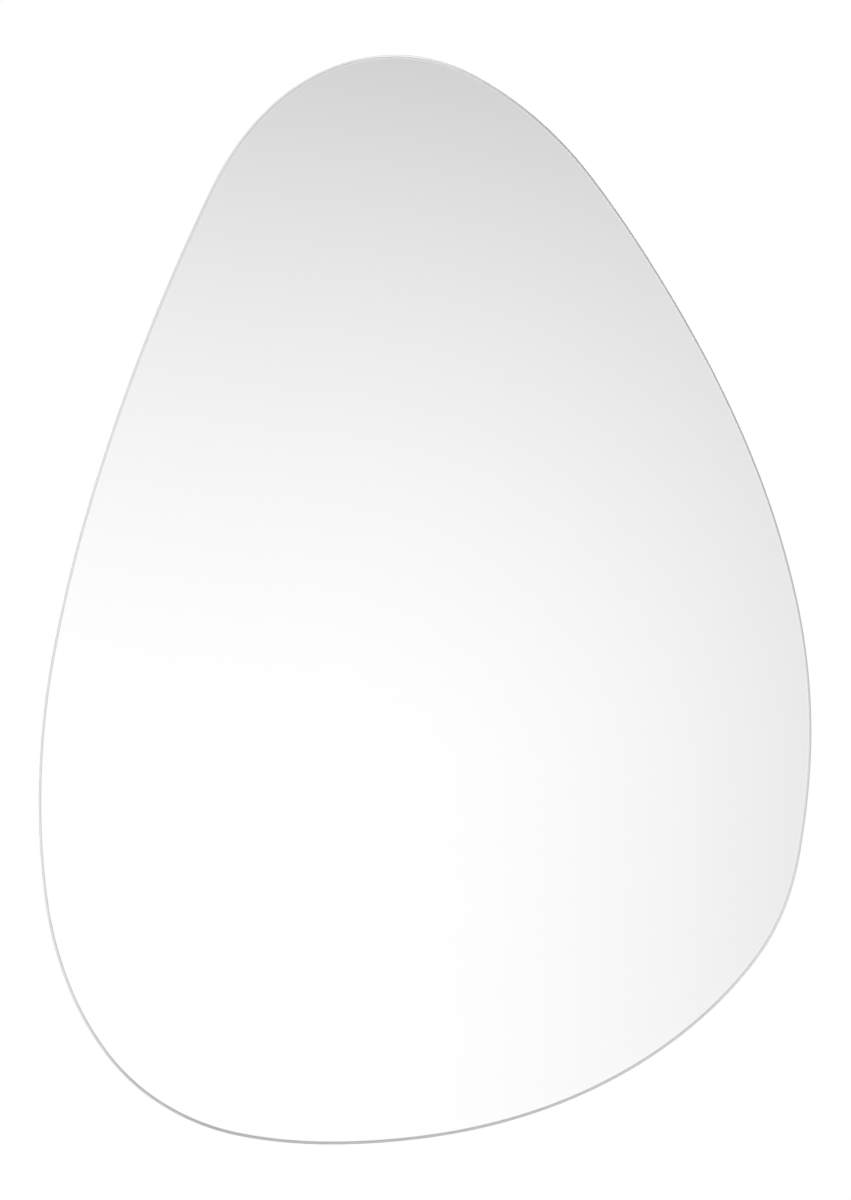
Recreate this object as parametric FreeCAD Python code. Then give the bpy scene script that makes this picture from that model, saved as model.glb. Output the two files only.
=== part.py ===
"""Frameless wall mirror with an irregular, pebble-like outline, narrow at the crown and wide at the foot.

A pane of silvered float glass, ground, arrissed and polished all round, is bonded with foam tape and
adhesive to a smaller fibreboard panel. The panel holds the glass off the wall, so that the pane seems to
float. It carries two steel keyhole hangers over routed pockets, and four felt pads as thick as the hangers.

Units are millimetres. +X is to the right and +Z up for someone who looks into the mirror, and +Y runs
into the wall. The wall plane is Y = 0, and the origin lies midway between the round entries of the two
keyholes. X = 0 is the pane's centre of mass, so that both hangers carry the same share of the glass.
"""
import FreeCAD, Part
import math
import os

from FreeCAD import Vector

# Pane
GLASS_WIDTH = 500.0
GLASS_HEIGHT = 705.0
GLASS_THICKNESS = 5.0
ARRIS = 1.2  # leg of the arris along both faces
SILVER_THICKNESS = 0.1
PAINT_THICKNESS = 0.1

# The pane's outline, anticlockwise from its rightmost point as the viewer sees it. Each node gives its
# place as shares of the width and height, and the way the outline runs there, in degrees from +X on a
# pane whose height is OUTLINE_ASPECT times its width. Two tangent arcs join each node to the next.
OUTLINE_ASPECT = 1.41
OUTLINE_NODES = (
    (1.000, 0.378, 90.0),  # rightmost point
    (0.921, 0.636, 112.5),
    (0.769, 0.835, 123.5),  # right flank turns in to the crown
    (0.646, 0.941, 139.0),
    (0.462, 1.000, 180.0),  # top of the crown
    (0.302, 0.954, 222.5),
    (0.226, 0.881, 244.0),  # left shoulder, the tightest bend
    (0.064, 0.586, 253.5),  # long left flank, almost straight
    (0.000, 0.312, 270.0),  # leftmost point
    (0.040, 0.141, 292.5),
    (0.157, 0.037, 327.5),
    (0.376, 0.000, 0.0),  # lowest point
    (0.655, 0.032, 19.5),
    (0.874, 0.126, 43.5),
    (0.968, 0.221, 70.0),  # right foot
    (0.994, 0.310, 83.5),
)

# Back panel
PANEL_THICKNESS = 12.0
PANEL_INSET = 35.0  # from the pane's edge to the panel's, all round
PANEL_EDGE_BREAK = 1.5  # leg of the bevel along the panel's rear edge

# Bond between pane and panel
BOND_GAP = 1.5
BOND_MARGIN = 20.0  # kept free of tape and adhesive along the panel's edge
TAPE_COUNT = 4
TAPE_WIDTH = 25.0
BEAD_WIDTH = 10.0

# Hangers: keyhole plates, as far apart as the panel allows in whole steps of the spacing
HANGER_DROP = 230.0  # from the top of the pane down to the keyholes' entries
HANGER_SIDE_MARGIN = 15.0  # least distance from a plate to the panel's edge, measured level
HANGER_SPACING_STEP = 10.0
HANGER_WIDTH = 60.0
HANGER_MARGIN = 9.0  # from the keyhole to the plate's edge, above and below
HANGER_THICKNESS = 2.0
HANGER_CORNER = 6.0
ENTRY_DIAMETER = 11.0  # round entry, which a wall screw's head passes through
SLOT_WIDTH = 5.0
SLOT_RISE = 10.0  # from the entry's centre up to where a wall screw's shank comes to rest
POCKET_MARGIN = 1.5  # room around the entry, for the screw's head behind the plate
POCKET_DEPTH = 9.0

# Hanger screws, one near each corner of a plate
SCREW_INSET = 8.0  # from the plate's edges to a screw's centre
SCREW_LENGTH = 10.0
SCREW_DIAMETER = 3.0
SCREW_HEAD_DIAMETER = 5.6
SCREW_SINK = 0.2  # from the plate's face down to the head's
SCREW_TIP = 1.5
SCREW_HOLE_CLEARANCE = 0.2  # between shank and plate, on the radius
RECESS_SPAN = 3.0
RECESS_WIDTH = 0.8
RECESS_DEPTH = 1.2

# Wall pads
PAD_SIZE = 20.0
PAD_CORNER = 3.0
PAD_MARGIN = 14.0  # from a pad to the panel's edge, measured level
UPPER_PADS_DROP = 75.0  # from the panel's top down to the upper pads' centres
LOWER_PADS_RISE = 95.0  # from the panel's foot up to the lower pads' centres

# Where each layer starts, counted from the wall
PLATE_FRONT = -HANGER_THICKNESS
PANEL_FRONT = PLATE_FRONT - PANEL_THICKNESS
BOND_FRONT = PANEL_FRONT - BOND_GAP
PAINT_FRONT = BOND_FRONT - PAINT_THICKNESS
SILVER_FRONT = PAINT_FRONT - SILVER_THICKNESS
GLASS_FRONT = SILVER_FRONT - GLASS_THICKNESS

# Where a hanger's plate starts and ends, counted up from its keyhole's entry
PLATE_BOTTOM = -ENTRY_DIAMETER / 2 - HANGER_MARGIN
PLATE_TOP = SLOT_RISE + SLOT_WIDTH / 2 + HANGER_MARGIN

INTO_WALL = Vector(0, 1, 0)
REACH = 2 * (GLASS_WIDTH + GLASS_HEIGHT)  # longer than any line across the pane
TOLERANCE = 1e-6


# Outline


def direction(degrees):
    """Unit vector for a heading of the outline, drawn out with the pane's width and height."""
    angle = math.radians(degrees)
    across = math.cos(angle) * GLASS_WIDTH
    up = math.sin(angle) * GLASS_HEIGHT / OUTLINE_ASPECT
    return Vector(across, 0, up).normalize()


def inward(heading):
    """A heading turned a quarter to the left, which points into an anticlockwise outline."""
    return Vector(-heading.z, 0, heading.x)


def tangent_arc(start, heading, end):
    """The start, middle and end of the arc that leaves along heading, each with its inward normal."""
    chord = end - start
    half_turn = math.atan2(heading.x * chord.z - heading.z * chord.x, heading.dot(chord))
    across = inward(chord).normalize()
    sagitta = chord.Length / 2 * math.tan(half_turn / 2)
    middle = (start + end) * 0.5 - across * sagitta
    end_heading = chord * (2 * heading.dot(chord) / chord.dot(chord)) - heading
    return (start, inward(heading)), (middle, across), (end, inward(end_heading))


def biarc(start, heading, end, end_heading):
    """Two arcs that meet smoothly and keep to the headings at both ends."""
    chord = end - start
    both = heading + end_heading
    spread = 2 * (1 - heading.dot(end_heading))
    along = chord.dot(both)
    arm = (math.sqrt(along**2 + spread * chord.dot(chord)) - along) / spread
    joint = (start + heading * arm + end - end_heading * arm) * 0.5
    first = tangent_arc(start, heading, joint)
    joint_normal = first[-1][1]
    return first, tangent_arc(joint, Vector(joint_normal.z, 0, -joint_normal.x), end)


def outline_arcs():
    """The arcs of the pane's outline, measured from the left and bottom of the pane."""
    nodes = []
    for across, up, degrees in OUTLINE_NODES:
        nodes.append((Vector(across * GLASS_WIDTH, 0, up * GLASS_HEIGHT), direction(degrees)))
    arcs = []
    for (start, heading), (end, end_heading) in zip(nodes, nodes[1:] + nodes[:1]):
        arcs.extend(biarc(start, heading, end, end_heading))
    return arcs


def outline_face(arcs, corner, inset, y):
    """A flat face at depth y whose edge runs inside the outline, the same distance in all round."""
    edges = []
    for arc in arcs:
        points = [corner + point + normal * inset + INTO_WALL * y for point, normal in arc]
        edges.append(Part.Arc(*points).toShape())
    return Part.Face(Part.Wire(edges))


def level_span(face, z):
    """The leftmost and rightmost X of a flat face at height z."""
    y = face.BoundBox.YMin
    box = Part.makeLine(Vector(-REACH, y, z), Vector(REACH, y, z)).common(face).BoundBox
    return box.XMin, box.XMax


def plumb_span(face, x):
    """The lowest and highest Z of a flat face at x."""
    y = face.BoundBox.YMin
    box = Part.makeLine(Vector(x, y, -REACH), Vector(x, y, REACH)).common(face).BoundBox
    return box.ZMin, box.ZMax


# Shapes used more than once


def edges_through(solid):
    """The edges of a plate that run straight through its thickness."""
    depth = solid.BoundBox.YLength
    return [edge for edge in solid.Edges if abs(edge.BoundBox.YLength - depth) < TOLERANCE]


def edged_plate(arcs, corner, profile):
    """A plate inside the outline. The profile of its edge is pairs of inset and depth, from front to back."""
    rims = [outline_face(arcs, corner, inset, y).OuterWire for inset, y in profile]
    slices = [Part.makeLoft([near, far], True, True) for near, far in zip(rims, rims[1:])]
    return slices[0].fuse(slices[1:]).removeSplitter()


def obround(x, bottom, top, radius, front, depth):
    """An upright bar with round ends, whose end centres are at heights bottom and top."""
    ends = [Part.makeCylinder(radius, depth, Vector(x, front, z), INTO_WALL) for z in (bottom, top)]
    bar = Part.makeBox(2 * radius, depth, top - bottom, Vector(x - radius, front, bottom))
    return bar.fuse(ends).removeSplitter()


# Pane and coatings


def make_glass(arcs, corner):
    """The pane, whose edge is a flat between two arrises."""
    profile = [
        (ARRIS, GLASS_FRONT),
        (0, GLASS_FRONT + ARRIS),
        (0, SILVER_FRONT - ARRIS),
        (ARRIS, SILVER_FRONT),
    ]
    return edged_plate(arcs, corner, profile)


def make_coating(arcs, corner, front, thickness):
    """A coat over the flat of the pane's back, which ends where the rear arris is ground off."""
    return edged_plate(arcs, corner, [(ARRIS, front), (ARRIS, front + thickness)])


# Bond


def strip_ends(panel_face, x, width):
    """The heights between which a strip of this width stays clear of the panel's edge."""
    spans = [plumb_span(panel_face, x + side * width / 2) for side in (-1, 1)]
    bottom = max(low for low, high in spans) + BOND_MARGIN
    top = min(high for low, high in spans) - BOND_MARGIN
    return bottom, top


def make_tape(panel_face, x):
    bottom, top = strip_ends(panel_face, x, TAPE_WIDTH)
    return Part.makeBox(TAPE_WIDTH, BOND_GAP, top - bottom, Vector(x - TAPE_WIDTH / 2, BOND_FRONT, bottom))


def make_bead(panel_face, x):
    bottom, top = strip_ends(panel_face, x, BEAD_WIDTH)
    radius = BEAD_WIDTH / 2
    return obround(x, bottom + radius, top - radius, radius, BOND_FRONT, BOND_GAP)


def make_bonds(panel_face):
    """Upright strips of foam tape, evenly spread over the panel, and a bead of adhesive between each two."""
    first = panel_face.BoundBox.XMin + BOND_MARGIN + TAPE_WIDTH / 2
    last = panel_face.BoundBox.XMax - BOND_MARGIN - TAPE_WIDTH / 2
    pitch = (last - first) / (TAPE_COUNT - 1)
    bonds = {}
    for n in range(TAPE_COUNT):
        bonds[f"foam_tape_{n + 1}"] = make_tape(panel_face, first + n * pitch)
    for n in range(TAPE_COUNT - 1):
        bonds[f"adhesive_bead_{n + 1}"] = make_bead(panel_face, first + (n + 0.5) * pitch)
    return bonds


# Hangers


def hanger_places(panel_face):
    """How far left and right of the origin the hangers' centres lie."""
    spans = [level_span(panel_face, z) for z in (PLATE_BOTTOM, PLATE_TOP)]
    reach = min(min(-left, right) for left, right in spans)
    room = 2 * (reach - HANGER_SIDE_MARGIN - HANGER_WIDTH / 2)
    spacing = math.floor(room / HANGER_SPACING_STEP) * HANGER_SPACING_STEP
    return {"left": -spacing / 2, "right": spacing / 2}


def screw_places(x):
    """Where the axes of a hanger's screws meet the wall plane."""
    places = []
    for side in (-1, 1):
        for z in (PLATE_BOTTOM + SCREW_INSET, PLATE_TOP - SCREW_INSET):
            places.append(Vector(x + side * (HANGER_WIDTH / 2 - SCREW_INSET), 0, z))
    return places


def make_hanger(x):
    """A steel plate with a keyhole between four countersunk screw holes."""
    corner = Vector(x - HANGER_WIDTH / 2, PLATE_FRONT, PLATE_BOTTOM)
    plate = Part.makeBox(HANGER_WIDTH, HANGER_THICKNESS, PLATE_TOP - PLATE_BOTTOM, corner)
    plate = plate.makeFillet(HANGER_CORNER, edges_through(plate))
    entry = Part.makeCylinder(ENTRY_DIAMETER / 2, HANGER_THICKNESS, Vector(x, PLATE_FRONT, 0), INTO_WALL)
    slot = obround(x, 0, SLOT_RISE, SLOT_WIDTH / 2, PLATE_FRONT, HANGER_THICKNESS)
    cutters = [entry, slot]
    hole_radius = SCREW_DIAMETER / 2 + SCREW_HOLE_CLEARANCE
    sink_radius = SCREW_HEAD_DIAMETER / 2 + SCREW_SINK
    for place in screw_places(x):
        cutters.append(Part.makeCylinder(hole_radius, HANGER_THICKNESS, place, -INTO_WALL))
        cutters.append(Part.makeCone(sink_radius, 0, sink_radius, place, -INTO_WALL))
    return plate.cut(cutters)


def make_screw(place):
    """A wood screw with a 90 degree countersunk head and a cross recess, driven in from the wall's side."""
    head_radius = SCREW_HEAD_DIAMETER / 2
    shank_radius = SCREW_DIAMETER / 2
    profile = [
        Vector(0, 0, 0),
        Vector(head_radius, 0, 0),
        Vector(shank_radius, shank_radius - head_radius, 0),
        Vector(shank_radius, SCREW_TIP - SCREW_LENGTH, 0),
        Vector(0, -SCREW_LENGTH, 0),
        Vector(0, 0, 0),
    ]
    screw = Part.Face(Part.makePolygon(profile)).revolve(Vector(0, 0, 0), INTO_WALL, 360)
    long, short = RECESS_SPAN, RECESS_WIDTH
    recess = [
        Part.makeBox(across, RECESS_DEPTH, up, Vector(-across / 2, -RECESS_DEPTH, -up / 2))
        for across, up in ((long, short), (short, long))
    ]
    screw = screw.cut(recess)
    screw.translate(place - INTO_WALL * SCREW_SINK)
    return screw


# Back panel and pads


def make_panel(arcs, corner, hangers):
    """The board, bevelled along its rear edge, with a pocket behind each keyhole and the screws' holes."""
    profile = [
        (PANEL_INSET, PANEL_FRONT),
        (PANEL_INSET, PLATE_FRONT - PANEL_EDGE_BREAK),
        (PANEL_INSET + PANEL_EDGE_BREAK, PLATE_FRONT),
    ]
    screw_reach = SCREW_SINK + SCREW_LENGTH
    cutters = []
    for x in hangers:
        radius = ENTRY_DIAMETER / 2 + POCKET_MARGIN
        cutters.append(obround(x, 0, SLOT_RISE, radius, PLATE_FRONT - POCKET_DEPTH, POCKET_DEPTH))
        for place in screw_places(x):
            cutters.append(Part.makeCylinder(SCREW_DIAMETER / 2, screw_reach, place, -INTO_WALL))
    return edged_plate(arcs, corner, profile).cut(cutters)


def make_pad(x, z):
    """A square of felt with round corners, which fills the space between panel and wall."""
    corner = Vector(x - PAD_SIZE / 2, PLATE_FRONT, z - PAD_SIZE / 2)
    pad = Part.makeBox(PAD_SIZE, HANGER_THICKNESS, PAD_SIZE, corner)
    return pad.makeFillet(PAD_CORNER, edges_through(pad))


def make_pads(panel_face):
    """Two pads near the crown and two near the foot, each level with its partner."""
    inset = PAD_MARGIN + PAD_SIZE / 2
    heights = {
        "upper": panel_face.BoundBox.ZMax - UPPER_PADS_DROP,
        "lower": panel_face.BoundBox.ZMin + LOWER_PADS_RISE,
    }
    pads = {}
    for level, z in heights.items():
        left, right = level_span(panel_face, z)
        pads[f"wall_pad_{level}_left"] = make_pad(left + inset, z)
        pads[f"wall_pad_{level}_right"] = make_pad(right - inset, z)
    return pads


def main():
    arcs = outline_arcs()
    balance = outline_face(arcs, Vector(0, 0, 0), 0, 0).CenterOfMass
    corner = Vector(-balance.x, 0, HANGER_DROP - GLASS_HEIGHT)
    panel_face = outline_face(arcs, corner, PANEL_INSET, PANEL_FRONT)
    hangers = hanger_places(panel_face)

    nodes = {
        "glass_pane": make_glass(arcs, corner),
        "silver_coating": make_coating(arcs, corner, SILVER_FRONT, SILVER_THICKNESS),
        "protective_paint": make_coating(arcs, corner, PAINT_FRONT, PAINT_THICKNESS),
        "back_panel": make_panel(arcs, corner, hangers.values()),
    }
    nodes.update(make_bonds(panel_face))
    screws = []
    for side, x in hangers.items():
        nodes[f"keyhole_hanger_{side}"] = make_hanger(x)
        screws.extend(make_screw(place) for place in screw_places(x))
    nodes["hanger_screws"] = Part.makeCompound(screws)
    nodes.update(make_pads(panel_face))

    os.makedirs("parts", exist_ok=True)
    for name, shape in nodes.items():
        shape.exportStep(f"parts/{name}.step")
        box = shape.BoundBox
        size = f"{box.XLength:.1f} x {box.YLength:.1f} x {box.ZLength:.1f} mm"
        print(f"{name}: {size}, {len(shape.Solids)} solids, valid {shape.isValid()}")


main()
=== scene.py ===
import math

import bmesh
import bpy
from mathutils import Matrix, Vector, noise


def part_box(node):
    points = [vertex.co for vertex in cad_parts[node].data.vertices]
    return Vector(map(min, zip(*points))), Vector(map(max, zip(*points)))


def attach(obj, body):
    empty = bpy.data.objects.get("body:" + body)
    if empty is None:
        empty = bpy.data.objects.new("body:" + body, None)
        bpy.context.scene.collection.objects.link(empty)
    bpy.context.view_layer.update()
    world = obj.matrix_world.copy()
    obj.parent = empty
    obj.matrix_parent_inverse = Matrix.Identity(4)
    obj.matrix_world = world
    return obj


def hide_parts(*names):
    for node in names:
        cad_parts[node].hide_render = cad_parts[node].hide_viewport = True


# Sizes in metres. X is the mirror's width, Z its height and Y its depth, with the wall at Y = 0.
MM = 0.001
SAME_DEPTH = 0.01 * MM  # two depths that are nearer than this are one
SMALLEST_RADIUS = 0.05 * MM  # what a rounded corner keeps, however far it is inset

# Depths, from the front of the pane back to the wall
GLASS_FRONT = -20.7 * MM
GLASS_BACK = -15.72 * MM  # a hair in front of the silver, so that the two never share a plane
SILVER_FRONT = -15.7 * MM
PAINT_FRONT = -15.6 * MM
BOND_FRONT = -15.5 * MM
PANEL_FRONT = -14 * MM
PLATE_FRONT = -2 * MM
WALL = 0.0

# The pane and the panel's edges
ARRIS = 1.2 * MM
ARRIS_ROUNDING = 0.18 * MM
PANE_HEM = 1 * MM  # a hem is a row of faces that keeps the flat beside an edge flat
PANEL_INSET = 35 * MM
PANEL_EDGE_BREAK = 1.5 * MM
PANEL_ROUNDING = 0.4 * MM
PANEL_HEM = 2 * MM

# A pane's face belongs to the flat of the edge, an arris or a flat by how far its normal points along Y
EDGE_LEAN = 0.05
FLAT_LEAN = 0.999

# Hangers: a keyhole plate over a routed pocket, with four screws
HANGER_X = 100 * MM
PLATE_WIDTH = 60 * MM
PLATE_BOTTOM = -14.5 * MM
PLATE_TOP = 21.5 * MM
PLATE_CORNER = 6 * MM
PLATE_ROUNDING = 0.25 * MM
PLATE_HEM = 0.6 * MM
ENTRY_RADIUS = 5.5 * MM
SLOT_RADIUS = 2.5 * MM
SLOT_RISE = 10 * MM
POCKET_RADIUS = 7 * MM
POCKET_FLOOR = -11 * MM
POCKET_ROUNDING = 0.3 * MM
POCKET_HEM = 1 * MM
SCREW_INSET = 8 * MM
SCREW_HOLE_RADIUS = 1.7 * MM
SINK_RADIUS = 3.0 * MM
SINK_ROUNDING = 0.12 * MM
SINK_HEM = 0.4 * MM

# Screws
SCREW_FACE = -0.2 * MM
SCREW_TIP = -10.2 * MM
SHANK_RADIUS = 1.5 * MM
TIP_RADIUS = 0.1 * MM
HEAD_RADIUS = 2.8 * MM
HEAD_EDGE = ((0.15 * MM, 0.0), (0.04 * MM, 0.04 * MM), (0.0, 0.14 * MM))  # how far in and how deep
HEAD_RINGS = 40  # fine enough for the recess, which is pressed into them
RECESS_REACH = 1.5 * MM
RECESS_HALF_WIDTH = 0.4 * MM
RECESS_DEPTH = 1.2 * MM
RECESS_END_SLOPE = 0.35 * MM
RECESS_SIDE_SLOPE = 0.1 * MM
RECESS_TAPER = 0.4  # how much shallower the ends are than the middle
RECESS_SHADE_FROM = 0.3  # the share of the depth from which the recess gets its darker steel, painted shade

# Soft pieces
TAPE_CORNER = 0.8 * MM
TAPE_EDGE = 0.75 * MM
TAPE_BULGE = 0.35 * MM
BEAD_EDGE = 1.6 * MM
BEAD_BULGE = 0.6 * MM
BEAD_STEP = 4 * MM
BEAD_WAVES = 90  # per metre
BEAD_WANDER = 0.2  # of the bead's half width
FELT_CORNER = 3 * MM
FELT_ROUNDING = 0.35 * MM
FELT_EDGE = (0.15 * MM, 0.1 * MM)  # how far in the edge is, at the front and at the wall
FELT_ROWS = [9.6 * MM - n * 0.46 * MM for n in range(20)]  # insets of the rows, from the middle out
FELT_HEM = 0.7 * MM
FELT_FUZZ = 0.12 * MM
FELT_FIBRES = 2600  # per metre
FELT_SEED = 1  # Blender's vector noise differs from run to run without a seed
FELT_STUCK = 0.1 * MM  # the depth that is glued to the panel and stays smooth

# Steps of the curves
OUTLINE_STEPS = 6  # between two corners of the CAD outline
TURN_STEPS = 48  # in a full turn
SCREW_STEPS = 72  # round a screw
FLOOR_STEPS = 96  # round the floor

# The camera stands square to the mirror, level with the middle of the pane
CAMERA_X = 5.95 * MM
CAMERA_Z = -122.7 * MM
CAMERA_DISTANCE = 2.588
CAMERA_LENS = 120

WHITE = (1, 1, 1, 1)
GLASS_IOR = 1.52

# The floor
FLOOR_Z = -1.5
FLOOR_RADIUS = 3.0
FLOOR_RINGS = 6
FLOOR_GLOW = (0.22, 0.54)  # what the lit floor lacks to be white, in the middle and at the rim
FLOOR_GLOW_FROM = 1.0  # the distance from the middle at which the glow starts to grow
MIRRORED_GLOW = 0.5  # the share of the glow that mirrors, metal and glass see

# Square soft lamps: place, size, power, and whether metal shows the lamp
LAMPS = {
    "key": ((-1.7, -2.2, 1.4), 1.6, 44, False),
    "fill": ((2.1, -1.8, 0.3), 1.6, 26, False),
    "rear_key": ((1.5, 2.0, 1.2), 1.4, 32, True),
    "rear_fill": ((-1.8, 1.6, 0.0), 1.4, 22, True),
}

# The light from all round, and the white card that mirrors, metal and glass see in its place
AMBIENT = 0.5
CARD_WHITE = 1.03  # makes up for what silver and glass take

# Soft patches of that card: direction, how near it the patch is full and how far from it the patch is
# gone, the share of the light that it takes, and the power of its curve. A share below 0 adds light.
OVERHEAD = (0, -0.893, 0.45)
PATCHES = [
    (OVERHEAD, 0.328, 0.506, 0.37, 1.6),  # shades the top of the mirror's face
    (OVERHEAD, 0.16, 0.27, 0.28, 1.0),  # the rest in front of the mirror show only in the arrises
    ((0.22, -0.893, 0.38), 0.06, 0.14, -0.5, 1.0),
    ((0.41, -0.893, 0.19), 0.06, 0.12, 0.12, 1.0),
    ((0.44, -0.893, -0.1), 0.05, 0.075, 0.27, 1.0),
    ((-0.38, -0.885, -0.27), 0.08, 0.32, 0.7, 1.0),
    ((-0.44, -0.89, 0.09), 0.08, 0.25, 0.2, 1.0),
    ((-0.25, 0.93, -0.3), 0.1, 0.75, 0.5, 1.0),  # behind the mirror
]

# Fades of the card towards a side: from where, to where, the share of the light, and the power
FADES = [
    ("right", -0.03, 0.115, 0.25, 2.0),  # shades the right of the mirror's face
    ("right", 0.3, 0.38, -0.1, 1.0),
    ("left", 0.2, 0.44, 0.22, 1.5),
    ("down", 0.2, 0.44, 0.3, 4.0),
    ("aside", 0.42, 0.9, 0.45, 1.0),
]


# Outlines, each a function from an inset to a closed ring of (x, z) points


def ring_of(node, depth):
    """The corners that a CAD node has at a depth, in order round its middle."""
    low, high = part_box(node)
    middle = (Vector(low) + Vector(high)) / 2
    corners = {}
    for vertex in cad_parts[node].data.vertices:
        if abs(vertex.co.y - depth) < SAME_DEPTH:
            angle = math.atan2(vertex.co.z - middle.z, vertex.co.x - middle.x)
            corners[round(angle, 4)] = Vector((vertex.co.x, vertex.co.z))
    return [corners[angle] for angle in sorted(corners)]


def smoothed(corners):
    """The smooth closed curve through the corners, as pairs of point and inward normal."""
    count = len(corners)
    headings = []
    for n, corner in enumerate(corners):
        back = corner - corners[n - 1]
        ahead = corners[(n + 1) % count] - corner
        headings.append((back / back.length_squared + ahead / ahead.length_squared).normalized())
    curve = []
    for n in range(count):
        start, end = corners[n], corners[(n + 1) % count]
        leave, arrive = headings[n], headings[(n + 1) % count]
        reach = (end - start).length
        for step in range(OUTLINE_STEPS):
            t = step / OUTLINE_STEPS
            point = (
                start * (2 * t**3 - 3 * t**2 + 1)
                + leave * reach * (t**3 - 2 * t**2 + t)
                + end * (3 * t**2 - 2 * t**3)
                + arrive * reach * (t**3 - t**2)
            )
            heading = leave.slerp(arrive, t)
            curve.append((point, Vector((-heading.y, heading.x))))
    return curve


def pane_outline(curve):
    def outline(inset):
        return [point + inward * inset for point, inward in curve]

    return outline


def arc(x, z, radius, start, end, steps):
    """Points along an arc, from start to end in degrees, anticlockwise where end is the larger."""
    points = []
    for step in range(steps + 1):
        angle = math.radians(start + (end - start) * step / steps)
        points.append(Vector((x + radius * math.cos(angle), z + radius * math.sin(angle))))
    return points


def circle(x, z, radius):
    def outline(inset):
        return arc(x, z, radius - inset, 0, 360, TURN_STEPS)[:-1]

    return outline


def rounded_rectangle(left, right, bottom, top, corner):
    def outline(inset):
        hold = max(corner, inset + SMALLEST_RADIUS)
        points = []
        for x, z, start in (
            (right - hold, top - hold, 0),
            (left + hold, top - hold, 90),
            (left + hold, bottom + hold, 180),
            (right - hold, bottom + hold, 270),
        ):
            points.extend(arc(x, z, hold - inset, start, start + 90, TURN_STEPS // 4))
        return points

    return outline


def obround(x, bottom, top, radius):
    def outline(inset):
        upper = arc(x, top, radius - inset, 0, 180, TURN_STEPS // 2)
        return upper + arc(x, bottom, radius - inset, 180, 360, TURN_STEPS // 2)

    return outline


def keyhole(x):
    """A round entry with a slot that rises from it."""

    def outline(inset):
        entry, slot = ENTRY_RADIUS - inset, SLOT_RADIUS - inset
        mouth = math.degrees(math.acos(slot / entry))
        lower = arc(x, 0, entry, 180 - mouth, 360 + mouth, TURN_STEPS)
        return lower + arc(x, SLOT_RISE, slot, 0, 180, TURN_STEPS // 2)

    return outline


# Meshes


def rounded(profile, length):
    """An edge profile, pairs of inset and depth, whose inner corners are rounded over a length."""
    smooth = [profile[0]]
    for before, corner, after in zip(profile, profile[1:], profile[2:]):
        corner = Vector(corner)
        start = corner + (Vector(before) - corner).normalized() * length
        end = corner + (Vector(after) - corner).normalized() * length
        for t in (0, 1 / 3, 2 / 3, 1):
            smooth.append(tuple(start * (1 - t) ** 2 + corner * 2 * t * (1 - t) + end * t**2))
    return [*smooth, profile[-1]]


def paired(ring):
    """Each point of a ring with the next one."""
    return zip(ring, ring[1:] + ring[:1])


def bridge(mesh, near, far, material=0):
    for (a, b), (c, d) in zip(paired(near), paired(far)):
        mesh.faces.new((a, b, d, c)).material_index = material


def wall(mesh, outline, profile, material=0):
    """Rows of faces along an outline, one for each step of the profile, and the rings at its ends."""
    rings = [[mesh.verts.new((p.x, y, p.y)) for p in outline(inset)] for inset, y in profile]
    for near, far in zip(rings, rings[1:]):
        bridge(mesh, near, far, material)
    return rings[0], rings[-1]


def cap(mesh, rings, material=0):
    """A flat face between an outer ring and the rings inside it."""
    if len(rings) == 1:
        mesh.faces.new(rings[0]).material_index = material
        return
    edges = [mesh.edges.get(pair) for ring in rings for pair in paired(ring)]
    filled = bmesh.ops.triangle_fill(mesh, use_beauty=True, use_dissolve=False, edges=edges)
    for face in filled["geom"]:
        if isinstance(face, bmesh.types.BMFace):
            face.material_index = material


def slab(outline, profile):
    """A closed mesh between two flat ends."""
    mesh = bmesh.new()
    for ring in wall(mesh, outline, profile):
        cap(mesh, [ring])
    return mesh


def finished(name, mesh, materials, nodes):
    """Turns a mesh into a smooth-shaded piece that stands for CAD nodes."""
    bmesh.ops.recalc_face_normals(mesh, faces=mesh.faces)
    data = bpy.data.meshes.new(name)
    mesh.to_mesh(data)
    mesh.free()
    data.shade_smooth()
    for material in materials:
        data.materials.append(material)
    piece = bpy.data.objects.new(name, data)
    bpy.context.scene.collection.objects.link(piece)
    normals = piece.modifiers.new("flat faces stay flat", "WEIGHTED_NORMAL")
    normals.weight = 100  # the largest faces decide
    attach(piece, "root")
    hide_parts(*nodes)
    return piece


# Materials


def add_node(tree, kind, inputs=None, **settings):
    """A shader node, whose inputs are values or the outputs that feed them."""
    node = tree.nodes.new(kind)
    for key, value in settings.items():
        setattr(node, key, value)
    for key, value in (inputs or {}).items():
        if isinstance(value, bpy.types.NodeSocket):
            tree.links.new(value, node.inputs[key])
        else:
            node.inputs[key].default_value = value
    return node


def new_material(name, **values):
    """A material and its shader. Underscores in the values' names stand for spaces."""
    material = bpy.data.materials.new(name)
    material.use_nodes = True
    shader = material.node_tree.nodes["Principled BSDF"]
    for key, value in values.items():
        shader.inputs[key.replace("_", " ")].default_value = value
    return material, shader


def grain(tree, stretch, detail=2.0, roughness=0.5, distortion=0.0):
    """Noise from 0 to 1 that repeats so many times per metre along X, Y and Z."""
    place = add_node(tree, "ShaderNodeTexCoord").outputs["Object"]
    place = add_node(tree, "ShaderNodeMapping", {"Vector": place, "Scale": stretch}).outputs["Vector"]
    inputs = {"Vector": place, "Scale": 1.0, "Detail": detail, "Roughness": roughness}
    inputs["Distortion"] = distortion
    return add_node(tree, "ShaderNodeTexNoise", inputs).outputs["Fac"]


def between(tree, value, low, high, start=0.35, end=0.65):
    """Carries a value from start..end, where most noise lies, over to low..high."""
    inputs = {"Value": value, "From Min": start, "From Max": end, "To Min": low, "To Max": high}
    return add_node(tree, "ShaderNodeMapRange", inputs).outputs["Result"]


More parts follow.
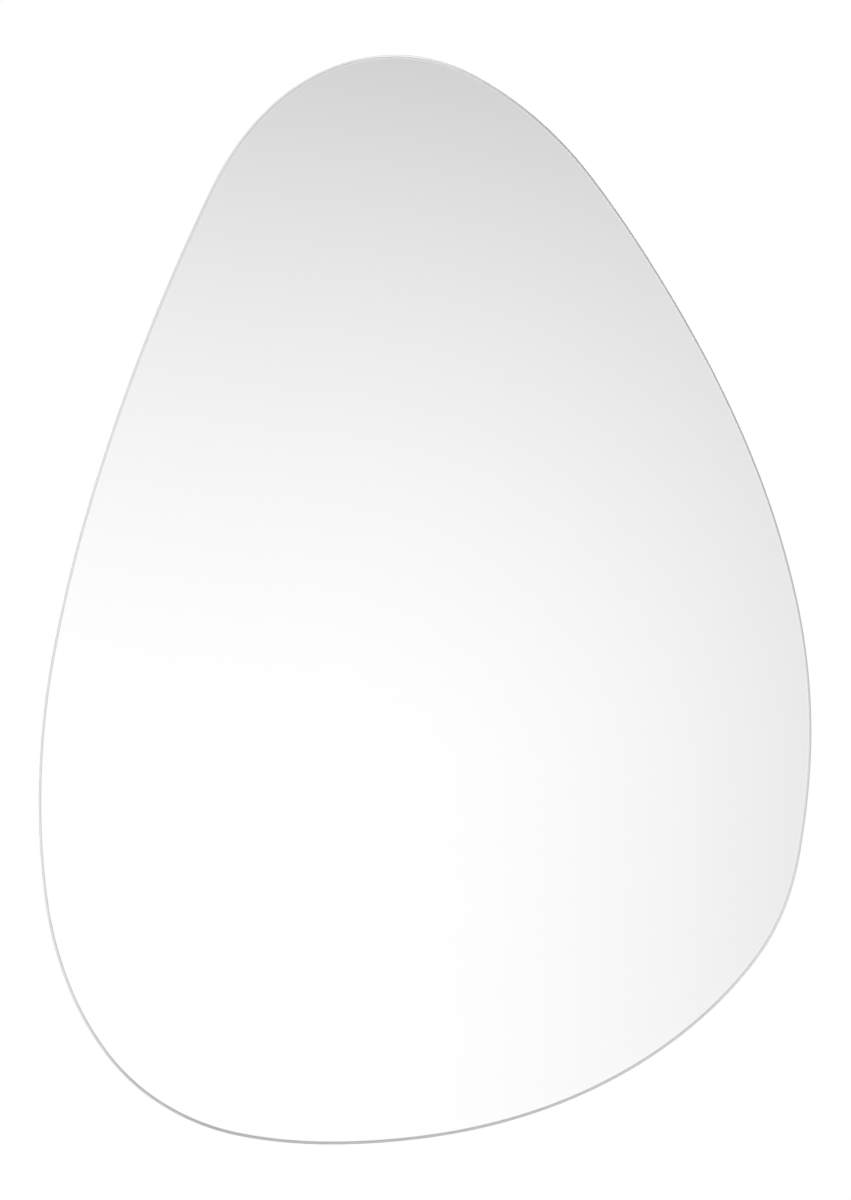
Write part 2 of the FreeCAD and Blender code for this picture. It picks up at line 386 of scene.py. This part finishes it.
def times(tree, *values):
    """The product of several values."""
    product = values[0]
    for value in values[1:]:
        product = add_node(tree, "ShaderNodeMath", {0: product, 1: value}, operation="MULTIPLY").outputs[0]
    return product


def larger(tree, a, b):
    return add_node(tree, "ShaderNodeMath", {0: a, 1: b}, operation="MAXIMUM").outputs[0]


def blend(tree, value, low, high):
    """A colour from low, where the value is 0, to high, where it is 1."""
    inputs = {0: value, 6: (*low, 1), 7: (*high, 1)}
    return add_node(tree, "ShaderNodeMix", inputs, data_type="RGBA").outputs[2]


def tinted(tree, texture, low, high):
    """A colour that wanders from low to high with a texture."""
    return blend(tree, between(tree, texture, 0, 1), low, high)


def bump(tree, height, depth):
    """Relief whose height is a value from 0 to 1, so many metres deep."""
    inputs = {"Height": height, "Distance": depth, "Strength": 1.0}
    return add_node(tree, "ShaderNodeBump", inputs).outputs["Normal"]


def feed(material, shader, **sources):
    """Links node outputs to the shader's sockets."""
    for key, source in sources.items():
        material.node_tree.links.new(source, shader.inputs[key.replace("_", " ")])


def face_glass():
    """Clear float glass, flawless on its faces."""
    material, _ = new_material(
        "float_glass",
        Base_Color=WHITE,
        Transmission_Weight=1.0,
        IOR=GLASS_IOR,
        Roughness=0.0,
    )
    return material


def arris_glass():
    """The bevelled rim, polished clear but for a faint bloom."""
    material, shader = new_material(
        "polished_arris",
        Base_Color=(0.975, 0.992, 0.985, 1),
        Transmission_Weight=0.92,
        IOR=GLASS_IOR,
    )
    tree = material.node_tree
    bloom = grain(tree, (60, 60, 60), detail=3)
    feed(material, shader, Roughness=between(tree, bloom, 0.0, 0.02))
    return material


def edge_glass():
    """The flat of the edge, brought to a soft shine by wheels that leave fine lines along it."""
    material, shader = new_material("wheel_polished_edge", Transmission_Weight=0.6, IOR=GLASS_IOR)
    tree = material.node_tree
    lines = grain(tree, (25, 6000, 25), detail=3)
    clouds = grain(tree, (90, 90, 90))
    feed(
        material,
        shader,
        Base_Color=tinted(tree, clouds, (0.50, 0.62, 0.565), (0.58, 0.70, 0.64)),
        Roughness=between(tree, lines, 0.14, 0.3),
        Normal=bump(tree, lines, depth=0.01 * MM),
    )
    return material


def silver():
    """Bright silver, flawless behind the glass."""
    material, _ = new_material(
        "silver",
        Base_Color=(0.985, 0.985, 0.985, 1),
        Metallic=1.0,
        Roughness=0.0,
    )
    return material


def backing_paint():
    """Curtain-coated protective paint, with faint streaks and orange peel."""
    material, shader = new_material("backing_paint", Roughness=0.5)
    tree = material.node_tree
    streaks = grain(tree, (6, 6, 90), detail=4)
    peel = grain(tree, (900, 900, 900), detail=2)
    feed(
        material,
        shader,
        Base_Color=tinted(tree, streaks, (0.27, 0.31, 0.33), (0.31, 0.35, 0.37)),
        Roughness=between(tree, peel, 0.42, 0.58),
        Normal=bump(tree, peel, depth=0.03 * MM),
    )
    return material


def panel_paint():
    """Matt black paint rolled onto fibreboard, with the roller's stipple and a few cloudy patches."""
    material, shader = new_material("panel_paint", Specular_IOR_Level=0.35)
    tree = material.node_tree
    stipple = grain(tree, (420, 420, 420), detail=5, roughness=0.65)
    clouds = grain(tree, (9, 9, 9), detail=4)
    feed(
        material,
        shader,
        Base_Color=tinted(tree, clouds, (0.020, 0.020, 0.021), (0.029, 0.029, 0.031)),
        Roughness=between(tree, stipple, 0.5, 0.72),
        Normal=bump(tree, stipple, depth=0.3 * MM),
    )
    return material


def bare_board():
    """Routed fibreboard, bare and fibrous."""
    material, shader = new_material("bare_board", Roughness=0.85)
    tree = material.node_tree
    fibres = grain(tree, (900, 2500, 900), detail=6, roughness=0.7)
    feed(
        material,
        shader,
        Base_Color=tinted(tree, fibres, (0.24, 0.155, 0.09), (0.42, 0.30, 0.19)),
        Normal=bump(tree, fibres, depth=0.1 * MM),
    )
    return material


def hanger_steel():
    """Zinc-plated steel, brushed level, with a faint cloudy passivation."""
    material, shader = new_material("hanger_steel", Metallic=1.0)
    tree = material.node_tree
    brushing = grain(tree, (60, 5000, 5000), detail=3, roughness=0.6)
    clouds = grain(tree, (120, 120, 120), detail=3)
    feed(
        material,
        shader,
        Base_Color=tinted(tree, clouds, (0.55, 0.57, 0.60), (0.64, 0.64, 0.62)),
        Roughness=between(tree, brushing, 0.22, 0.42),
        Normal=bump(tree, brushing, depth=0.01 * MM),
    )
    return material


def screw_steel():
    """Plated steel, worn a little where the driver slipped."""
    material, shader = new_material("screw_steel", Metallic=1.0)
    tree = material.node_tree
    wear = grain(tree, (1500, 1500, 1500), detail=3)
    feed(
        material,
        shader,
        Base_Color=tinted(tree, wear, (0.46, 0.45, 0.43), (0.58, 0.57, 0.55)),
        Roughness=between(tree, wear, 0.26, 0.42),
        Normal=bump(tree, wear, depth=0.01 * MM),
    )
    return material


def recess_steel_painted_shade():
    """The pressed recess in darker, mottled grey steel: painted shade where shade falls into the recess.
    """
    material, shader = new_material("recess_steel_painted_shade", Metallic=1.0)
    tree = material.node_tree
    painted_shade_mottle = grain(tree, (2500, 2500, 2500), detail=3)
    feed(
        material,
        shader,
        # dark grey: painted shade in the recess
        Base_Color=tinted(tree, painted_shade_mottle, (0.13, 0.13, 0.13), (0.24, 0.235, 0.23)),
        Roughness=between(tree, painted_shade_mottle, 0.45, 0.65),
    )
    return material


def felt_material():
    """Pressed grey wool felt, fibrous and slightly fuzzy."""
    material, shader = new_material("felt", Roughness=0.95, Sheen_Weight=0.15, Sheen_Roughness=0.5)
    tree = material.node_tree
    fibres = grain(tree, (1300, 1300, 1300), detail=6, roughness=0.75, distortion=2.0)
    flecks = grain(tree, (350, 350, 350), detail=2)
    shade = times(tree, between(tree, fibres, 0.4, 1), between(tree, flecks, 0.75, 1))
    feed(
        material,
        shader,
        Base_Color=blend(tree, shade, (0.02, 0.02, 0.021), (0.13, 0.13, 0.135)),
        Normal=bump(tree, fibres, depth=0.3 * MM),
    )
    return material


def foam_material():
    """Closed-cell foam tape."""
    material, shader = new_material("foam_tape", Roughness=0.8)
    tree = material.node_tree
    place = add_node(tree, "ShaderNodeTexCoord").outputs["Object"]
    cells = add_node(tree, "ShaderNodeTexVoronoi", {"Vector": place, "Scale": 3500.0}).outputs["Distance"]
    shade = between(tree, cells, 0, 1, start=0, end=0.8)
    feed(
        material,
        shader,
        Base_Color=blend(tree, shade, (0.74, 0.74, 0.71), (0.88, 0.88, 0.86)),
        Normal=bump(tree, cells, depth=0.1 * MM),
    )
    return material


def adhesive_material():
    """Cured mounting adhesive, waxy and a little uneven."""
    material, shader = new_material("adhesive", Subsurface_Weight=0.15, Subsurface_Scale=0.002)
    tree = material.node_tree
    lumps = grain(tree, (150, 150, 150), detail=3)
    feed(
        material,
        shader,
        Base_Color=tinted(tree, lumps, (0.68, 0.66, 0.59), (0.76, 0.74, 0.68)),
        Roughness=between(tree, lumps, 0.32, 0.5),
        Normal=bump(tree, lumps, depth=0.3 * MM),
    )
    return material


# Pane and coatings


def make_pane(outline):
    """The glass, with an arris along both faces and the flat of the edge between them."""
    profile = rounded(
        [
            (ARRIS + PANE_HEM, GLASS_FRONT),
            (ARRIS, GLASS_FRONT),
            (0, GLASS_FRONT + ARRIS),
            (0, SILVER_FRONT - ARRIS),
            (ARRIS + GLASS_BACK - SILVER_FRONT, GLASS_BACK),
            (ARRIS + PANE_HEM, GLASS_BACK),
        ],
        ARRIS_ROUNDING,
    )
    mesh = slab(outline, profile)
    mesh.normal_update()
    for face in mesh.faces:
        lean = abs(face.normal.y)
        if lean < EDGE_LEAN:
            face.material_index = 2
        elif lean < FLAT_LEAN:
            face.material_index = 1
    finished("glass", mesh, [face_glass(), arris_glass(), edge_glass()], ["glass_pane"])


def make_coat(name, outline, front, back, material, node):
    mesh = slab(outline, [(ARRIS, front), (ARRIS, back)])
    finished(name, mesh, [material], [node])


# Panel


def make_panel(outline):
    """The board behind the pane, with its rear edge broken and a pocket routed for each hanger."""
    edge = rounded(
        [
            (PANEL_INSET + PANEL_HEM, PANEL_FRONT),
            (PANEL_INSET, PANEL_FRONT),
            (PANEL_INSET, PLATE_FRONT - PANEL_EDGE_BREAK),
            (PANEL_INSET + PANEL_EDGE_BREAK, PLATE_FRONT),
            (PANEL_INSET + PANEL_EDGE_BREAK + PANEL_HEM, PLATE_FRONT),
        ],
        PANEL_ROUNDING,
    )
    mesh = bmesh.new()
    front, back = wall(mesh, outline, edge)
    cap(mesh, [front])
    mouths = [back]
    pocket_side = rounded(
        [(-POCKET_HEM, PLATE_FRONT), (0, PLATE_FRONT), (0, POCKET_FLOOR), (POCKET_HEM, POCKET_FLOOR)],
        POCKET_ROUNDING,
    )
    for x in (-HANGER_X, HANGER_X):
        pocket = obround(x, 0, SLOT_RISE, POCKET_RADIUS)
        mouth, floor = wall(mesh, pocket, pocket_side, material=1)
        cap(mesh, [floor], material=1)
        mouths.append(mouth)
    cap(mesh, mouths)
    finished("panel", mesh, [panel_paint(), bare_board()], ["back_panel"])


# Hangers


def screw_places(x):
    """The axes of a hanger's four screws, as (x, z)."""
    places = []
    for side in (-1, 1):
        for z in (PLATE_BOTTOM + SCREW_INSET, PLATE_TOP - SCREW_INSET):
            places.append((x + side * (PLATE_WIDTH / 2 - SCREW_INSET), z))
    return places


def make_hanger(side, x, steel):
    """A plate with a keyhole and four countersunk holes."""
    left, right = x - PLATE_WIDTH / 2, x + PLATE_WIDTH / 2
    edge = rounded(
        [(PLATE_HEM, PLATE_FRONT), (0, PLATE_FRONT), (0, WALL), (PLATE_HEM, WALL)],
        PLATE_ROUNDING,
    )
    hole = rounded(
        [(-PLATE_HEM, PLATE_FRONT), (0, PLATE_FRONT), (0, WALL), (-PLATE_HEM, WALL)],
        PLATE_ROUNDING,
    )
    flare = SCREW_HOLE_RADIUS - SINK_RADIUS
    sink = rounded(
        [(-PLATE_HEM, PLATE_FRONT), (0, PLATE_FRONT), (0, flare), (flare, WALL), (flare - SINK_HEM, WALL)],
        SINK_ROUNDING,
    )
    mesh = bmesh.new()
    plate = rounded_rectangle(left, right, PLATE_BOTTOM, PLATE_TOP, PLATE_CORNER)
    walls = [wall(mesh, plate, edge), wall(mesh, keyhole(x), hole)]
    for place in screw_places(x):
        walls.append(wall(mesh, circle(*place, SCREW_HOLE_RADIUS), sink))
    cap(mesh, [near for near, _ in walls])
    cap(mesh, [far for _, far in walls])
    finished(f"hanger_{side}", mesh, [steel], [f"keyhole_hanger_{side}"])


def recess_depth(x, z):
    """How deep the cross recess is at a point of a screw's head."""
    along, across = max(abs(x), abs(z)), min(abs(x), abs(z))
    end = (RECESS_REACH - along) / RECESS_END_SLOPE
    side = (RECESS_HALF_WIDTH - across) / RECESS_SIDE_SLOPE + 0.5
    edge = min(1.0, max(0.0, min(end, side)))
    taper = 1 - RECESS_TAPER * min(1.0, along / RECESS_REACH)
    return RECESS_DEPTH * edge * taper


def add_screw(mesh, x, z):
    """A countersunk screw, whose head is a fine disc with the cross recess pressed into it."""
    head_edge = [(HEAD_RADIUS - inset, SCREW_FACE - depth) for inset, depth in HEAD_EDGE]
    flat = head_edge[0][0]
    profile = [(flat * n / HEAD_RINGS, SCREW_FACE) for n in range(1, HEAD_RINGS)]
    profile += [
        *head_edge,
        (SHANK_RADIUS, SCREW_FACE + SHANK_RADIUS - HEAD_RADIUS),
        (SHANK_RADIUS, SCREW_TIP + SHANK_RADIUS),
        (TIP_RADIUS, SCREW_TIP),
    ]
    rings = []
    for radius, y in profile:
        ring = []
        for point in arc(0, 0, radius, 0, 360, SCREW_STEPS)[:-1]:
            depth = recess_depth(*point) if radius <= flat else 0
            ring.append(mesh.verts.new((x + point.x, y - depth, z + point.y)))
        rings.append(ring)
    for ring in (rings[0], rings[-1]):
        cap(mesh, [ring])
    for near, far in zip(rings, rings[1:]):
        bridge(mesh, near, far)
    for face in {face for ring in rings for vertex in ring for face in vertex.link_faces}:
        middle = face.calc_center_median()
        # faces deep in the recess get the darker steel, which is painted shade
        if recess_depth(middle.x - x, middle.z - z) > RECESS_DEPTH * RECESS_SHADE_FROM:
            face.material_index = 1


def make_screws():
    mesh = bmesh.new()
    for x in (-HANGER_X, HANGER_X):
        for place in screw_places(x):
            add_screw(mesh, *place)
    finished("screws", mesh, [screw_steel(), recess_steel_painted_shade()], ["hanger_screws"])


# Bond and pads


def bulged(low, high, edge, bulge):
    """The edge profile of a strip between two depths, proudest halfway, with flats that start at edge."""
    middle = (low + high) / 2
    return rounded([(edge, low), (bulge, low), (0, middle), (bulge, high), (edge, high)], bulge / 2)


def make_tape(node, foam):
    """A strip of foam tape, pressed so that its sides bulge."""
    low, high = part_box(node)
    mesh = slab(
        rounded_rectangle(low[0], high[0], low[2], high[2], TAPE_CORNER),
        bulged(low[1], high[1], TAPE_EDGE, TAPE_BULGE),
    )
    piece = finished(f"{node}_strip", mesh, [foam], [node])


def make_bead(node, adhesive):
    """A bead of adhesive, squeezed flat, whose edge wanders in and out."""
    low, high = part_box(node)
    radius = (high[0] - low[0]) / 2
    middle = (low[0] + high[0]) / 2
    straight = obround(middle, low[2] + radius, high[2] - radius, radius)

    def outline(inset):
        points = []
        for start, end in paired(straight(inset)):
            steps = max(1, round((end - start).length / BEAD_STEP))
            points.extend(start.lerp(end, step / steps) for step in range(steps))
        for point in points:
            wander = 0.5 + 0.5 * noise.noise((point.x * BEAD_WAVES, point.y * BEAD_WAVES, 0))
            point.x += (middle - point.x) * BEAD_WANDER * wander
        return points

    mesh = slab(outline, bulged(low[1], high[1], BEAD_EDGE, BEAD_BULGE))
    finished(f"{node}_squeezed", mesh, [adhesive], [node])


def make_pad(node, felt):
    """A felt pad, finely divided so that its faces and edges can be fibrous and uneven."""
    low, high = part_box(node)
    front, face = low[1], high[1] - FELT_FUZZ
    edge = [(FELT_HEM, front), (FELT_EDGE[0], front), (FELT_EDGE[1], face), (FELT_HEM, face)]
    profile = [(inset, front) for inset in FELT_ROWS]
    profile += rounded(edge, FELT_ROUNDING)
    profile += [(inset, face) for inset in reversed(FELT_ROWS)]
    mesh = slab(rounded_rectangle(low[0], high[0], low[2], high[2], FELT_CORNER), profile)
    for vertex in mesh.verts:
        if vertex.co.y > front + FELT_STUCK:
            vertex.co += noise.noise_vector(vertex.co * FELT_FIBRES) * FELT_FUZZ
    piece = finished(f"{node}_felt", mesh, [felt], [node])


# Studio


def fade(tree, value, start, end, share, power):
    """1 up to start, and from there along a curve to 1 - share at end."""
    ramp = between(tree, value, 0, 1, start, end)
    curve = add_node(tree, "ShaderNodeMath", {0: ramp, 1: power}, operation="POWER").outputs[0]
    inputs = {0: curve, 1: -share, 2: 1.0}
    return add_node(tree, "ShaderNodeMath", inputs, operation="MULTIPLY_ADD").outputs[0]


def patch(tree, direction, aim, inner, outer, share, power):
    """1 - share near the direction that it's aimed at, and 1 away from it."""
    inputs = {0: direction, 1: Vector(aim).normalized()}
    distance = add_node(tree, "ShaderNodeVectorMath", inputs, operation="DISTANCE").outputs["Value"]
    return fade(tree, distance, outer, inner, share, power)


def studio_sky(tree):
    """What mirrors, metal and glass see: a white card in front, dimmer overhead and to the sides."""
    direction = add_node(tree, "ShaderNodeTexCoord").outputs["Generated"]
    parts = add_node(tree, "ShaderNodeSeparateXYZ", {0: direction}).outputs
    right = parts["X"]
    left = times(tree, right, -1.0)
    down = times(tree, parts["Z"], -1.0)
    towards = {"right": right, "left": left, "down": down, "aside": larger(tree, right, left)}
    patches = [patch(tree, direction, *numbers) for numbers in PATCHES]
    fades = [fade(tree, towards[side], *numbers) for side, *numbers in FADES]
    return times(tree, CARD_WHITE, *patches, *fades)


def make_world():
    """White to the camera, the studio's sky to mirrors, metal and glass, and plain light to the rest."""
    world = bpy.data.worlds.new("studio")
    world.use_nodes = True
    tree = world.node_tree
    rays = add_node(tree, "ShaderNodeLightPath").outputs
    shiny = larger(tree, rays["Is Glossy Ray"], rays["Is Transmission Ray"])
    level = add_node(tree, "ShaderNodeMix", {0: shiny, 2: AMBIENT, 3: studio_sky(tree)}).outputs[0]
    level = add_node(tree, "ShaderNodeMix", {0: rays["Is Camera Ray"], 2: level, 3: 1.0}).outputs[0]
    background = tree.nodes["Background"]
    background.inputs["Color"].default_value = WHITE
    tree.links.new(level, background.inputs["Strength"])
    bpy.context.scene.world = world


def make_lamp(name, place, size, power, shown):
    """A square soft lamp that faces the mirror."""
    light = bpy.data.lights.new(name, "AREA")
    light.size = size
    light.energy = power
    lamp = bpy.data.objects.new(name, light)
    lamp.location = place
    aim = Vector((0, 0, CAMERA_Z)) - Vector(place)
    lamp.rotation_euler = aim.to_track_quat("-Z", "Y").to_euler()
    lamp.visible_camera = False
    lamp.visible_glossy = shown
    lamp.visible_transmission = False
    bpy.context.scene.collection.objects.link(lamp)


def floor_material():
    """Pale and matt, and brought up to white for the camera, less so in mirrors."""
    material, shader = new_material(
        "floor",
        Base_Color=(0.8, 0.8, 0.8, 1),
        Roughness=0.9,
        Emission_Color=WHITE,
    )
    tree = material.node_tree
    place = add_node(tree, "ShaderNodeTexCoord").outputs["Object"]
    distance = add_node(tree, "ShaderNodeVectorMath", {0: place}, operation="LENGTH").outputs["Value"]
    rays = add_node(tree, "ShaderNodeLightPath").outputs
    shiny = larger(tree, rays["Is Glossy Ray"], rays["Is Transmission Ray"])
    seen = larger(tree, rays["Is Camera Ray"], times(tree, shiny, MIRRORED_GLOW))
    missing = between(tree, distance, *FLOOR_GLOW, start=FLOOR_GLOW_FROM, end=FLOOR_RADIUS)
    feed(material, shader, Emission_Strength=times(tree, seen, missing))
    return material


def make_floor():
    mesh = bmesh.new()
    rings = []
    for step in range(1, FLOOR_RINGS + 1):
        points = arc(0, 0, FLOOR_RADIUS * step / FLOOR_RINGS, 0, 360, FLOOR_STEPS)[:-1]
        rings.append([mesh.verts.new((p.x, p.y, 0)) for p in points])
    mesh.faces.new(rings[0])
    for near, far in zip(rings, rings[1:]):
        for n in range(len(near)):
            mesh.faces.new((near[n - 1], far[n - 1], far[n], near[n]))
    data = bpy.data.meshes.new("floor")
    mesh.to_mesh(data)
    mesh.free()
    data.materials.append(floor_material())
    floor = bpy.data.objects.new("floor", data)
    floor.location.z = FLOOR_Z
    bpy.context.scene.collection.objects.link(floor)


def make_camera():
    data = bpy.data.cameras.new("camera")
    data.lens = CAMERA_LENS
    camera = bpy.data.objects.new("camera", data)
    camera.location = (CAMERA_X, GLASS_FRONT + ARRIS - CAMERA_DISTANCE, CAMERA_Z)
    camera.rotation_euler = (math.radians(90), 0, 0)
    bpy.context.scene.collection.objects.link(camera)
    bpy.context.scene.camera = camera


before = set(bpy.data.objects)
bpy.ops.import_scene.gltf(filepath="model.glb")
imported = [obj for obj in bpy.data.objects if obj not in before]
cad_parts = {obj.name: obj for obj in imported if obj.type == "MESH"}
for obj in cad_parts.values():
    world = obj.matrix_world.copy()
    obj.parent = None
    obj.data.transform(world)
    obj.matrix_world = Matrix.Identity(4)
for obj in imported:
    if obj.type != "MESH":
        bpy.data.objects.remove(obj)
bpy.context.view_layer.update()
noise.seed_set(FELT_SEED)

make_camera()
make_world()
make_floor()
for name, settings in LAMPS.items():
    make_lamp(name, *settings)

outline = pane_outline(smoothed(ring_of("glass_pane", GLASS_FRONT + ARRIS)))
make_pane(outline)
make_coat("silvering", outline, SILVER_FRONT, PAINT_FRONT, silver(), "silver_coating")
make_coat("paint", outline, PAINT_FRONT, BOND_FRONT, backing_paint(), "protective_paint")
make_panel(outline)
steel = hanger_steel()
make_hanger("left", -HANGER_X, steel)
make_hanger("right", HANGER_X, steel)
make_screws()
soft_makers = {
    "foam_tape": (make_tape, foam_material()),
    "adhesive_bead": (make_bead, adhesive_material()),
    "wall_pad": (make_pad, felt_material()),
}
for node in sorted(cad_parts):
    for kind, (make, material) in soft_makers.items():
        if node.startswith(kind):
            make(node, material)

bpy.context.scene.view_settings.view_transform = "Standard"
